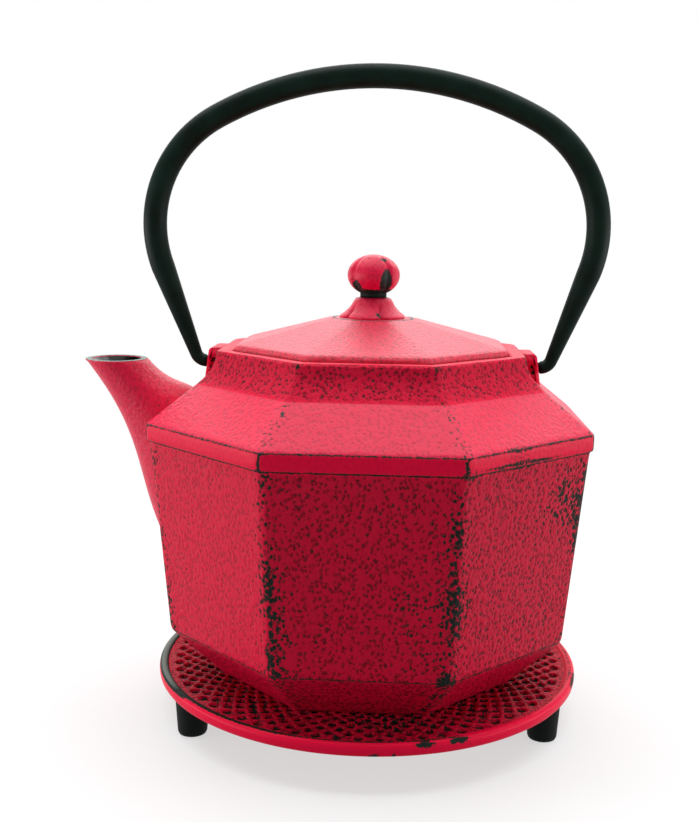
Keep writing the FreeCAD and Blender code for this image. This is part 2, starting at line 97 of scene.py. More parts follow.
def crimson_paint(name, sheen, smooth):
    """The coat with its sheen, low on pebbled faces, and its smooth-face colour, pinker as painted sheen on
    satin coats.
    """
    material = bpy.data.materials.new(name)
    material.use_nodes = True
    tree = material.node_tree
    place = node(tree, "TexCoord").outputs["Object"]
    wear = node(tree, "Attribute", attribute_name="wear").outputs["Fac"]
    line = node(tree, "Attribute", attribute_name="line").outputs["Fac"]
    grain = node(tree, "Attribute", attribute_name="grain").outputs["Fac"]
    ragged = node(tree, "TexNoise",
                  {"Vector": place, "Scale": 1 / (RAGGED * MM), "Detail": 3.0, "Roughness": 0.6})
    warped = node(tree, "VectorMath", {0: ragged.outputs["Color"], 1: (PIT_WARP * MM,) * 3, 2: place},
                  operation="MULTIPLY_ADD").outputs[0]
    drawn = node(tree, "VectorMath", {0: warped, 1: (1.0, 1.0, 1 / PIT_TALL)},
                 operation="MULTIPLY").outputs[0]
    pits = node(tree, "TexVoronoi", {"Vector": drawn, "Scale": 1 / (PIT_SPACING * MM)})
    away = pits.outputs["Distance"]
    chance = node(tree, "SeparateColor", {0: pits.outputs["Color"]}).outputs[0]
    # A pit is bared as far out as the wear reaches there, some pits less than others
    patch = node(tree, "TexNoise", {"Vector": place, "Scale": 1 / (PATCH * MM), "Detail": 3.0})
    spread = node(tree, "MapRange", {"Value": patch.outputs["Fac"], "From Min": 0.35, "From Max": 0.65,
                                     "To Min": 0.65, "To Max": 1.05}).outputs[0]
    bared = node(tree, "Math", {0: wear, 1: spread}, operation="MULTIPLY").outputs[0]
    pit_reach = node(tree, "Math", {0: chance, 1: -0.25, 2: bared}, operation="MULTIPLY_ADD").outputs[0]
    over = node(tree, "Math", {0: pit_reach, 1: away}, operation="SUBTRACT").outputs[0]
    specks = node(tree, "MapRange", {"Value": over, "From Min": -0.05, "From Max": 0.05},
                  interpolation_type="SMOOTHSTEP").outputs[0]
    # Edges and knocked places lose the coat altogether, with a ragged border
    edged = node(tree, "Math", {0: ragged.outputs["Fac"], 1: line}, operation="ADD").outputs[0]
    rubbed = node(tree, "MapRange", {"Value": edged, "From Min": 1.05, "From Max": 1.13},
                  interpolation_type="SMOOTHSTEP").outputs[0]
    bare = node(tree, "Math", {0: specks, 1: rubbed}, operation="MAXIMUM").outputs[0]
    # The coat is painted darker down in the pits, as painted shade; the iron is pale where it is rubbed most
    pit_shade_tone = node(tree, "ValToRGB", {"Fac": away})
    for stop, position, shade in zip(pit_shade_tone.color_ramp.elements, (0.18, 0.52), ("#5a0217", "#d00b36")):
        stop.position, stop.color = position, linear(shade)
    iron = node(tree, "ValToRGB", {"Fac": ragged.outputs["Fac"]})
    for stop, position, shade in zip(iron.color_ramp.elements, (0.35, 0.75), ("#0a110f", "#222d28")):
        stop.position, stop.color = position, linear(shade)
    shine = node(tree, "MapRange", {"Value": line, "From Min": 1.15, "From Max": 1.5}).outputs[0]
    metal = node(tree, "Mix", {0: shine, 6: iron.outputs["Color"], 7: linear("#76847c")}, data_type="RGBA")
    coat = node(tree, "Mix", {0: grain, 6: linear(smooth), 7: pit_shade_tone.outputs["Color"]}, data_type="RGBA")
    colour = node(tree, "Mix", {0: bare, 6: coat.outputs[2], 7: metal.outputs[2]}, data_type="RGBA")
    gloss = node(tree, "MapRange", {"Value": bare, "To Min": 0.38, "To Max": 0.55}).outputs[0]
    hills = node(tree, "Math", {0: away, 1: grain}, operation="MULTIPLY").outputs[0]
    height = node(tree, "Math", {0: bare, 1: -0.2, 2: hills}, operation="MULTIPLY_ADD").outputs[0]
    bump = node(tree, "Bump", {"Height": height, "Strength": 0.8, "Distance": PIT_DEPTH * MM})
    shader = tree.nodes["Principled BSDF"]
    shader.inputs["Specular IOR Level"].default_value = sheen
    tree.links.new(colour.outputs[2], shader.inputs["Base Color"])
    tree.links.new(gloss, shader.inputs["Roughness"])
    tree.links.new(bump.outputs["Normal"], shader.inputs["Normal"])
    return material


paint = crimson_paint("worn_crimson_paint", 0.08, "#ea0b3d")


def spun(bm, profile, steps):
    """Turns a profile of reaches and heights in millimetres round the Z axis."""
    verts = [bm.verts.new((reach * MM, 0, height * MM)) for reach, height in profile]
    edges = [bm.edges.new(pair) for pair in zip(verts, verts[1:])]
    bmesh.ops.spin(bm, geom=verts + edges, cent=(0, 0, 0), axis=(0, 0, 1), angle=2 * math.pi, steps=steps,
                   use_merge=True)
    bmesh.ops.remove_doubles(bm, verts=bm.verts, dist=1e-6)
    bmesh.ops.recalc_face_normals(bm, faces=bm.faces)


def mark(bm, worn):
    """Writes how worn, how rubbed and how grainy the paint is at each vertex; grain also sets the painted
    pit shade.
    """
    layers = [bm.verts.layers.float.new(name) for name in ("wear", "line", "grain")]
    for vert in bm.verts:
        for layer, value in zip(layers, worn(vert.co / MM)):
            vert[layer] = value


def near(gap, reach, sharp=2):
    """One at a place, falling to nothing past its reach; the sharper, the steeper the fall at that reach."""
    return math.exp(-abs(gap / reach) ** sharp)


def piece(bm, name, materials, body, *nodes):
    """Makes a shaped mesh a smooth piece that rides on a body and stands for the nodes it covers."""
    mesh = bpy.data.meshes.new(name)
    bm.to_mesh(mesh)
    bm.free()
    for material in materials:
        mesh.materials.append(material)
    mesh.shade_smooth()
    made = bpy.data.objects.new(name, mesh)
    bpy.context.scene.collection.objects.link(made)
    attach(made, body)
    if nodes:
        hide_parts(*nodes)
    return made


trivet = bmesh.new()
rings = [DENTS_OUT]
while rings[-1] * DENT_STEP > DENTS_IN:
    rings.append(rings[-1] * DENT_STEP)
spun(trivet, DISH_SECTION + [(reach, TRIVET_FLOOR) for reach in rings + [20, 10, 0]], SECTORS)
# The rim is cut finer than the floor, so that its chips can be small
sector = 2 * math.pi / SECTORS
hoops = []
for edge in trivet.edges:
    start, stop = [vert.co for vert in edge.verts]
    level = abs(start.xy.length - stop.xy.length) + abs(start.z - stop.z) < 1e-7
    if level and start.xy.length > RIM_START * MM:
        hoops.append(edge)
for item in bmesh.ops.subdivide_edges(trivet, edges=hoops, cuts=RIM_CUTS)["geom_inner"]:
    if isinstance(item, bmesh.types.BMVert):
        turn = math.atan2(item.co.y, item.co.x) % sector - sector / 2
        item.co.xy *= math.cos(turn) / math.cos(sector / 2)


def on_dents(face):
    """Whether a face of the dish lies on the stretch of its floor that has the dents."""
    return face.normal.z > 0.9 and rings[-1] < face.calc_center_median().xy.length / MM < rings[0]


# Each cell of the floor is split at its middle; the old edges dissolve and leave diamonds, which are then
# pressed in row by row
cells = [face for face in trivet.faces if on_dents(face)]
shared = [edge for edge in dict.fromkeys(edge for face in cells for edge in face.edges)
          if all(face in cells for face in edge.link_faces)]
bmesh.ops.poke(trivet, faces=cells)
bmesh.ops.dissolve_edges(trivet, edges=shared)
rows = {}
for face in trivet.faces:
    if len(face.verts) == 4 and on_dents(face):
        rows.setdefault(round(face.calc_center_median().xy.length / MM, 1), []).append(face)
for dents in rows.values():
    width = math.sqrt(dents[0].calc_area())
    for narrower, deeper in DENT_PRESSES:
        bmesh.ops.inset_individual(trivet, faces=dents, thickness=narrower * width, depth=-deeper * width,
                                   use_even_offset=True)


def turn_gap(bearing, other):
    """Degrees between two bearings."""
    return abs((bearing - other + 180) % 360 - 180)


def trivet_wear(at):
    """Rim chips and rubs; floor and dents bared, partly as painted shade; painted shadow round the pot's
    foot.
    """
    reach = at.xy.length
    bearing = math.degrees(math.atan2(at.x, -at.y))
    line = 0.5 * near(reach - RIM_EDGE, 0.4) * (at.z > TRIVET_FLOOR + 0.2)
    for chip, half, level, strength in RIM_CHIPS:
        chipped = strength * near(turn_gap(bearing, chip), half, 4) * near(at.z - level, 0.9)
        line = max(line, chipped * (reach > RIM_EDGE + 0.4))
    for rub, half, middle, breadth, strength in RIM_RUBS:
        rubbed = strength * near(turn_gap(bearing, rub), half, 6) * near(reach - middle, breadth, 4)
        line = max(line, rubbed * (at.z > TRIVET_FLOOR + 0.4))
    if reach > FLOOR_REACH or at.z < TRIVET_UNDER + 0.8:
        return 0.12, line, 0.05
    # Down in the dents the coat is bared to dark iron, partly as wear and partly as painted shade in these
    # hollows
    sunk = max(0.0, min(1.0, (TRIVET_FLOOR - at.z) / 0.5))
    # The floor is speckled with bared iron, partly wear and partly painted shade under the pot, and more
    # round the pot's foot as its painted shadow
    pot_shadow = 0.22 * near(max(0.0, reach - POT_SHADOW_REACH), POT_SHADOW_FADE)
    return 0.34 + pot_shadow + 0.3 * sunk, max(line, 0.8 * sunk), 1.0


mark(trivet, trivet_wear)
trivet_plate = piece(trivet, "trivet_dish", [paint], "trivet", "trivet_plate")
rounding = trivet_plate.modifiers.new("rounding", "SUBSURF")
rounding.levels = rounding.render_levels = 1

# Trivet feet: short tapered plugs of black rubber with a rounded bottom edge, each pushed onto a peg cast
# under the dish, so that it doesn't scratch the table.
FOOT_CIRCLE, FOOT_HEIGHT = 68.4, 12.0
FOOT_BEARINGS = {"left": 213.0, "right": 333.0, "back": 93.0}
FOOT_SECTION = [
    (0, 0), (3.2, 0), (3.9, 0.05), (4.6, 0.4), (4.93, 1.1), (5.02, 2.0), (5.6, 10.6), (5.7, 11.9),
    (5.6, FOOT_HEIGHT), (0, FOOT_HEIGHT),
]

# Moulded black rubber: matt, with a faint cloudy bloom that makes the black uneven.
rubber = bpy.data.materials.new("moulded_black_rubber")
rubber.use_nodes = True
tree = rubber.node_tree
place = node(tree, "TexCoord").outputs["Object"]
bloom = node(tree, "TexNoise", {"Vector": place, "Scale": 1 / (2.5 * MM), "Detail": 4.0}).outputs["Fac"]
tint = node(tree, "ValToRGB", {"Fac": bloom})
for stop, position, shade in zip(tint.color_ramp.elements, (0.35, 0.75), ("#020706", "#09100e")):
    stop.position, stop.color = position, linear(shade)
skin = node(tree, "Bump", {"Height": bloom, "Strength": 0.2, "Distance": 0.1 * MM})
shader = tree.nodes["Principled BSDF"]
shader.inputs["Roughness"].default_value = 0.6
shader.inputs["Specular IOR Level"].default_value = 0.1
tree.links.new(tint.outputs["Color"], shader.inputs["Base Color"])
tree.links.new(skin.outputs["Normal"], shader.inputs["Normal"])

for side, bearing in FOOT_BEARINGS.items():
    foot = bmesh.new()
    spun(foot, FOOT_SECTION, steps=40)
    turn = math.radians(bearing)
    bmesh.ops.translate(foot, verts=foot.verts,
                        vec=(FOOT_CIRCLE * MM * math.cos(turn), FOOT_CIRCLE * MM * math.sin(turn), 0))
    piece(foot, f"rubber_foot_{side}", [rubber], "trivet", f"trivet_foot_{side}")

# Pot: an eight-sided casting with a flared foot, upright sides, a raised band, a sloping shoulder and a
# short collar. Painted outside, enamelled inside; the lid sits in the collar and the basket hangs below it.
CORNER = math.pi / 8
POT_BASE, LOWER_EDGE, SIDE_TOP, BAND_TOP, COLLAR_TOP = 15.0, 32.9, 99.1, 104.6, 128.5
BASE_REACH, LOWER_REACH, SIDE_REACH, BAND_REACH = 54.0, 72.2, 78.5, 79.8
COVE_LOW, COVE_CORNER, COVE_HIGH, COVE_HALF = 62.63, (57.0, 121.6), 56.27, 4.2
COVE_STEPS = 6
COLLAR, MOUTH = 55.8, 50.5
# Shelves inside the collar that carry the lid and the basket, with the round bores below them
LID_SHELF, BASKET_SHELF, SHELF_BORE, NECK_BORE = 126.0, 124.8, 43.35, 40.45
NECK_FOOT, CAVITY_TOP, CAVITY_LOW, CAVITY_FLOOR = 119.8, 102.6, 34.9, 20.0
# Reaches to the cavity's corners: under the neck, below the shoulder, above the flare and at the floor
CAVITY_NECK, CAVITY_SHOULDER, CAVITY_FLARE, CAVITY_BASE = 50.67, 74.17, 67.87, 51.84
CUTS = 39
# How a wall runs, and which of its piece's materials it has; only the pot has a satin coat beside its own
FACETED, ROUND = 0, 1
COATED, ENAMELLED, SATIN = 0, 1, 2
# The walls that are eased lie further out than the bores; corners and edges are rounded over these distances
WALL_FROM, CORNER_EASE, EDGE_EASE = 45.0, 0.9, 0.3
# Edges along which the coat is rubbed, and how much
WORN_LEVELS = ((LOWER_EDGE, 0.7), (SIDE_TOP, 0.76), (BAND_TOP, 0.72))
# Places knocked bare: a point, how far it spreads, and how much of the coat is gone in pits and altogether
POT_KNOCKS = (
    ((70.5, -33.0, 84.0), 17.0, 0.4, 0.0),
    ((27.0, -66.0, 34.0), 3.4, 0.4, 0.58),
    ((-45.0, 54.0, 62.0), 15.0, 0.35, 0.0),
    ((31.0, -69.5, 99.6), 4.0, 0.3, 0.66),
    ((48.0, -58.0, 100.6), 9.0, 0.2, 0.5),
    ((24.0, -69.0, 55.0), 17.0, 0.12, 0.0),
    ((-31.0, 69.5, 101.0), 5.0, 0.3, 0.6),
    ((68.0, 30.0, 45.0), 12.0, 0.3, 0.0),
)
# The scrape along the front right side of the band, and where the rub along the band's top edge starts
SCRAPE_X, SCRAPE_HALF, SCRAPE_Z, RUB_FROM = 48.0, 17.0, 100.3, 33.0
# A vertex this close below an edge counts to what is above the edge
EDGE_SKIN = 0.1

# Black enamel: ground glass fused to the iron; a smooth dark green-black coat with a soft gloss.
enamel = bpy.data.materials.new("black_enamel")
enamel.use_nodes = True
tree = enamel.node_tree
place = node(tree, "TexCoord").outputs["Object"]
ripple = node(tree, "TexNoise", {"Vector": place, "Scale": 1 / (6 * MM), "Detail": 3.0}).outputs["Fac"]
tint = node(tree, "ValToRGB", {"Fac": ripple})
for stop, shade in zip(tint.color_ramp.elements, ("#0c1513", "#1b2a26")):
    stop.color = linear(shade)
skin = node(tree, "Bump", {"Height": ripple, "Strength": 0.15, "Distance": 0.3 * MM})
shader = tree.nodes["Principled BSDF"]
shader.inputs["Roughness"].default_value = 0.3
tree.links.new(tint.outputs["Color"], shader.inputs["Base Color"])
tree.links.new(skin.outputs["Normal"], shader.inputs["Normal"])

# The shoulder, the spout, the knob and its seat are smoother castings than the sides, so the same paint has
# more sheen there; its smooth colour is also made a little pinker, as painted sheen.
satin_paint = crimson_paint("satin_crimson_paint", 0.26, "#e60b46")


def flat_turn(x, y):
    """Angle from the middle of the nearest of the eight flats."""
    return (math.atan2(y, x) + CORNER) % (2 * CORNER) - CORNER


def ring_edges(verts):
    """Edges that join the vertices of a ring."""
    ring = set(verts)
    return [edge for edge in dict.fromkeys(edge for vert in verts for edge in vert.link_edges)
            if edge.verts[0] in ring and edge.verts[1] in ring]


def raised(bm, levels, cuts=CUTS):
    """Raises walls through levels: a reach to the corners, a height, steps, faceted or round, a material."""
    first_reach, first_height = levels[0]
    place = Matrix.Translation((0, 0, first_height * MM)) @ Matrix.Rotation(CORNER, 4, "Z")
    bmesh.ops.create_circle(bm, segments=8, radius=first_reach * MM, matrix=place)
    bmesh.ops.subdivide_edges(bm, edges=bm.edges, cuts=cuts)
    edges = bm.edges[:]
    bmesh.ops.edgeloop_fill(bm, edges=edges)
    for (reach, height, *_), (end_reach, end_height, steps, run, material) in zip(levels, levels[1:]):
        for step in range(1, steps + 1):
            along = step / steps
            grown = bmesh.ops.extrude_edge_only(bm, edges=edges)["geom"]
            verts = [item for item in grown if isinstance(item, bmesh.types.BMVert)]
            for vert in verts:
                level = reach + along * (end_reach - reach)
                if run == FACETED:
                    level *= math.cos(CORNER) / math.cos(flat_turn(vert.co.x, vert.co.y))
                vert.co.xy = vert.co.xy.normalized() * level * MM
                vert.co.z = (height + along * (end_height - height)) * MM
            edges = ring_edges(verts)
            for edge in edges:
                edge.link_faces[0].material_index = material
    bmesh.ops.edgeloop_fill(bm, edges=edges, mat_nr=levels[-1][4])
    bmesh.ops.recalc_face_normals(bm, faces=bm.faces)


def eased(bm, chosen, times=2):
    """Rounds the chosen edges of a casting by smoothing the vertices along them."""
    verts = [vert for vert in bm.verts if chosen(vert.co / MM)]
    for _ in range(times):
        bmesh.ops.smooth_vert(bm, verts=verts, factor=0.5, use_axis_x=True, use_axis_y=True, use_axis_z=True)


def corner_gap(at):
    """Distance along the flat from the nearest upright corner."""
    turn = flat_turn(at.x, at.y)
    reach = at.xy.length
    return reach * math.cos(turn) * math.tan(CORNER) - abs(reach * math.sin(turn))


def corner_reach(at):
    """Reach to the corners of the eight-sided ring that a point lies on."""
    return at.xy.length * math.cos(flat_turn(at.x, at.y)) / math.cos(CORNER)


pot = bmesh.new()
# The cove sweeps up from the shoulder to the collar in one curve
cove = []
for step in range(COVE_STEPS + 1):
    along = step / COVE_STEPS
    below, corner, above = (1 - along) ** 2, 2 * along * (1 - along), along ** 2
    cove.append((below * COVE_LOW + corner * COVE_CORNER[0] + above * COVE_HIGH,
                 COVE_CORNER[1] + (above - below) * COVE_HALF))
outside = [
    (BASE_REACH, POT_BASE),
    (LOWER_REACH, LOWER_EDGE, 15, FACETED, COATED),
    (SIDE_REACH, SIDE_TOP, 44, FACETED, COATED),
    (BAND_REACH - 0.05, SIDE_TOP + 0.15, 1, FACETED, COATED),
    (BAND_REACH, BAND_TOP, 5, FACETED, COATED),
    (*cove[0], 14, FACETED, SATIN),
]
outside += [(*point, 1, FACETED, COATED) for point in cove[1:]]
collar = [
    (COLLAR, COLLAR_TOP, 3, FACETED, COATED),
    (MOUTH, COLLAR_TOP, 4, FACETED, COATED),
    (MOUTH, LID_SHELF, 2, FACETED, COATED),
    (SHELF_BORE, LID_SHELF, 1, ROUND, ENAMELLED),
    (SHELF_BORE, BASKET_SHELF, 1, ROUND, ENAMELLED),
    (NECK_BORE, BASKET_SHELF, 1, ROUND, ENAMELLED),
    (NECK_BORE, NECK_FOOT, 2, ROUND, ENAMELLED),
]
cavity = [
    (CAVITY_NECK, NECK_FOOT, 1, FACETED, ENAMELLED),
    (CAVITY_SHOULDER, CAVITY_TOP, 4, FACETED, ENAMELLED),
    (CAVITY_FLARE, CAVITY_LOW, 45, FACETED, ENAMELLED),
    (CAVITY_BASE, CAVITY_FLOOR, 3, FACETED, ENAMELLED),
]
raised(pot, outside + collar + cavity)


def pot_wear(at):
    """Bare specks crowd the corners and the foot of each side; the edges of band and collar are rubbed."""
    gap = corner_gap(at)
    line = max(strength * near(at.z - level, 0.45, 1) for level, strength in WORN_LEVELS)
    pitted = 0.0
    for spot, spread, pits, patch in POT_KNOCKS:
        knocked = near((at - Vector(spot)).length, spread, 4)
        pitted, line = max(pitted, pits * knocked), max(line, patch * knocked)
    if at.z < LOWER_EDGE - EDGE_SKIN:
        return 0.2 + 0.5 * near(gap, 5) + pitted, line, 1.0
    if at.z < SIDE_TOP - EDGE_SKIN:
        # The sides next to the spout are calmer than the front, the back and the right
        fore = abs(at.y) / max(at.xy.length, 1) > math.cos(CORNER)
        calm = at.x < 0 and not fore
        low = 1 - (at.z - LOWER_EDGE) / (SIDE_TOP - LOWER_EDGE)
        corner = (0.5 if at.x < 0 else 0.33) * near(gap, 4) + 0.1 * near(gap, 11, 1) * fore
        flat = 0.18 if calm else 0.26 + 0.05 * low
        return flat + corner * min(1.0, 0.85 + 0.4 * low) + pitted, line, 0.6 if calm else 1.0
    if at.z < BAND_TOP - EDGE_SKIN:
        scraped = 0.72 * near(at.z - SCRAPE_Z, 1.0) * near(at.x - SCRAPE_X, SCRAPE_HALF, 4) * (at.y < 0)
        rubbed = 0.85 * near(at.z - BAND_TOP, 0.9, 1) * (at.x > RUB_FROM and at.y < 0)
        return 0.05 + pitted, max(line, scraped, rubbed, 0.8 * near(gap, 1.2, 1)), 0.15
    if at.z < COVE_CORNER[1] - COVE_HALF:
        return 0.08 + 0.5 * near(gap, 2.8), line, 0.35
    if at.z > COLLAR_TOP - EDGE_SKIN:
        return 0.05, 0.62 * near(corner_reach(at) - COLLAR, 0.5, 1), 0.3
    return 0.28, 0.75 * near(gap, 1.8, 1) * (at.z > COLLAR_TOP - 2.5), 1.0


def on_pot_edge(at):
    """Whether a point lies on one of the level edges of the pot's outside."""
    return any(abs(at.z - level) < EDGE_EASE for level in (LOWER_EDGE, SIDE_TOP, BAND_TOP, COLLAR_TOP))


mark(pot, pot_wear)
eased(pot, lambda at: at.xy.length > WALL_FROM and corner_gap(at) < CORNER_EASE)
eased(pot, lambda at: at.xy.length > WALL_FROM and on_pot_edge(at), times=1)

# Spout: a hollow tapering tube cast with the pot; it leans out of the side and opens level. Its outside is
# smooth and painted, its bore enamelled, and the paint is rubbed off along the lip.
SPOUT_ROOT, SPOUT_REACH, SPOUT_RISE, SPOUT_TILT = (-63.0, 68.0), 28.0, 54.8, 82.0
SPOUT_MOUTH, SPOUT_EXTRA, SPOUT_WALL, SPOUT_LIP = 10.9, 9.7, 3.2, 2.4
SPOUT_TOP = SPOUT_ROOT[1] + SPOUT_RISE
# Ovals that draw the spout from root to mouth: shares of its reach, rise and tilt, then its half width as a
# share of the mouth's, and how much of the extra depth it has
SPOUT_RINGS = (
    (0.0, 0.0, 1.0, 1.15, 1.0),
    (0.15, 0.27, 0.83, 1.25, 1.36),
    (0.37, 0.645, 0.635, 1.155, 0.25),
    (0.72, 0.816, 0.213, 0.945, -0.1),
    (1.0, 1.0, 0.0, 1.0, 0.0),
)
# Degree and knots of the smooth curve that the ovals draw, from 0 at the root to 2 at the mouth; its shares
# vanish right at the last knot, so the mouth is read just short of it
DEGREE, KNOTS, SPOUT_END = 3, (0, 0, 0, 0, 1, 2, 2, 2, 2), 1.9999
# Places along the spout, in the same measure, at which its wall gets a ring
STATIONS = [2.0 * k / 22 for k in range(22)] + [1.94, 1.97]
# The rounded lip: how far in from the outside, and how far below the top
LIP_ROUND = (
    (0.0, 0.35), (0.1, 0.1), (0.35, 0.0),
    (SPOUT_LIP - 0.35, 0.0), (SPOUT_LIP - 0.1, 0.1), (SPOUT_LIP, 0.35),
)
# The pot's inner side and the underside of its shoulder: a point just off each, and the way into the cavity
HOLLOW = (
    (Vector((-62.2, 0, CAVITY_LOW)), Vector((1, 0, 0.086))),
    (Vector((-68.0, 0, CAVITY_TOP)), Vector((0.621, 0, -0.784))),
)
# A pitted place where the spout meets the shoulder, and the part of the pot's side that its bore opens
SPOUT_KNOCK = Vector((-66.0, -9.0, 105.0))
BORE_X, BORE_LOW = -55.0, 40.0


def weight(i, degree, along):
    """Share of control ring i at a place along the spout, as on a smooth curve that its rings draw."""
    if degree == 0:
        return float(KNOTS[i] <= along < KNOTS[i + 1])
    total = 0.0
    if KNOTS[i + degree] > KNOTS[i]:
        total += (along - KNOTS[i]) / (KNOTS[i + degree] - KNOTS[i]) * weight(i, degree - 1, along)
    if KNOTS[i + degree + 1] > KNOTS[i + 1]:
        total += ((KNOTS[i + degree + 1] - along) / (KNOTS[i + degree + 1] - KNOTS[i + 1])
                  * weight(i + 1, degree - 1, along))
    return total


def spout_oval(along, inset):
    """Centre and two half axes of the oval across the spout at a place along it, drawn in by inset."""
    centre, tall, wide = Vector(), Vector(), Vector()
    for i, (out, up, tilt, width, extra) in enumerate(SPOUT_RINGS):
        share = weight(i, DEGREE, min(along, SPOUT_END))
        turn = math.radians(tilt * SPOUT_TILT)
        half = width * SPOUT_MOUTH - inset
        centre += share * Vector((SPOUT_ROOT[0] - out * SPOUT_REACH, 0, SPOUT_ROOT[1] + up * SPOUT_RISE))
        tall += share * (half + extra * SPOUT_EXTRA) * Vector((math.cos(turn), 0, math.sin(turn)))
        wide += share * Vector((0, half, 0))
    return centre, tall, wide


def spout_place(along, inset, drop=0.0):
    """The oval's place and shape, as a matrix for a round ring."""
    centre, tall, wide = spout_oval(along, inset)
    across = Matrix((tall, wide, tall.cross(wide).normalized())).transposed().to_4x4()
    return Matrix.Translation((centre - Vector((0, 0, drop))) * MM) @ across


# One ring runs up the outside, over the rounded lip and back down the bore
course = [(spout_place(along, 0), COATED) for along in STATIONS]
course += [(spout_place(2.0, inset, drop), COATED) for inset, drop in LIP_ROUND]
for along in reversed(STATIONS):
    wall = SPOUT_WALL + (SPOUT_LIP - SPOUT_WALL) * along / 2
    course.append((spout_place(along, wall), ENAMELLED))
spout = bmesh.new()
bmesh.ops.create_circle(spout, segments=48, radius=MM, matrix=course[0][0])
edges = spout.edges[:]
for (last, _), (place, material) in zip(course, course[1:]):
    grown = bmesh.ops.extrude_edge_only(spout, edges=edges)["geom"]
    verts = [item for item in grown if isinstance(item, bmesh.types.BMVert)]
    bmesh.ops.transform(spout, matrix=place @ last.inverted(), verts=verts)
    edges = ring_edges(verts)
    for edge in edges:
        edge.link_faces[0].material_index = material
# The tube's root is trimmed where it comes out into the cavity
for point, normal in HOLLOW:
    bmesh.ops.bisect_plane(spout, geom=spout.verts[:] + spout.edges[:] + spout.faces[:], plane_co=point * MM,
                           plane_no=normal)
hidden = [face for face in spout.faces
          if all((face.calc_center_median() / MM - point).dot(normal) > 0 for point, normal in HOLLOW)]
bmesh.ops.delete(spout, geom=hidden, context="FACES")
for face in bmesh.ops.bridge_loops(spout, edges=[edge for edge in spout.edges if edge.is_boundary])["faces"]:
    face.material_index = ENAMELLED
bmesh.ops.recalc_face_normals(spout, faces=spout.faces)

# The pot's walls open into the bore, with the edge of the hole hidden in the tube's own wall
ovals = [spout_oval(step / 20, SPOUT_WALL / 2) for step in range(20)]


def in_bore(at):
    """Whether a point lies within the spout's oval next to it."""
    def off_plane(oval):
        return abs((at - oval[0]).dot(oval[1].cross(oval[2]).normalized()))
    centre, tall, wide = min(ovals, key=off_plane)
    return (((at - centre).dot(tall) / tall.length_squared) ** 2
            + ((at - centre).dot(wide) / wide.length_squared) ** 2) < 1


opened = []
for face in pot.faces:
    middle = face.calc_center_median() / MM
    if middle.x < BORE_X and BORE_LOW < middle.z < SIDE_TOP and in_bore(middle):
        opened.append(face)
bmesh.ops.delete(pot, geom=opened, context="FACES")
piece(pot, "pot_casting", [paint, enamel, satin_paint], "pot", "pot_body")


def spout_wear(at):
    """The lip is rubbed to pale metal, and the paint is pitted where the spout meets the shoulder."""
    lip = at.z > SPOUT_TOP - 0.1
    pitted = 0.25 * near((at - SPOUT_KNOCK).length, 9, 4)
    return 0.1 + pitted, 1.6 if lip else 0.5 * near(at.z - SPOUT_TOP, 0.5, 1), 0.35


mark(spout, spout_wear)
piece(spout, "spout_tube", [satin_paint, enamel], "pot")

# Lugs: blocks cast on the collar's left and right faces, with rounded outer edges, drilled for the handle's
# pins and scooped out on the front and the back.
LUG_INNER, LUG_REACH, LUG_LEAN, LUG_HALF, PIVOT = 49.6, 57.6, 0.9, 7.5, 122.6
LUG_TOP, LUG_BOTTOM, LUG_ROUND = 128.0, 115.6, 1.5
SCOOP_X, SCOOP_RADIUS = 54.9, 2.2
# Steps down into a scoop: how much deeper, and the share of its width that is left
SCOOP_STEPS = ((0.1, 0.96), (0.3, 0.9), (0.25, 0.75), (0.12, 0.5))


def draw_on(bm, edges, run, thinner):
    """Carries a ring on by run in millimetres, and draws it thinner."""
    grown = bmesh.ops.extrude_edge_only(bm, edges=edges)["geom"]
    verts = [item for item in grown if isinstance(item, bmesh.types.BMVert)]
    bmesh.ops.translate(bm, vec=run * MM, verts=verts)
    middle = sum((vert.co for vert in verts), Vector()) / len(verts)
    bmesh.ops.scale(bm, vec=(thinner,) * 3, space=Matrix.Translation(-middle), verts=verts)
    return ring_edges(verts)


def lug_wear(at):
    """The coat is pitted all over the lug and mostly gone inside the scoops."""
    off_pivot = math.hypot(abs(at.x) - SCOOP_X, at.z - PIVOT)
    scooped = abs(at.y) < LUG_HALF - 0.3 and off_pivot < SCOOP_RADIUS - 0.2
    return 0.25 + 0.5 * scooped, 0.0, 0.3


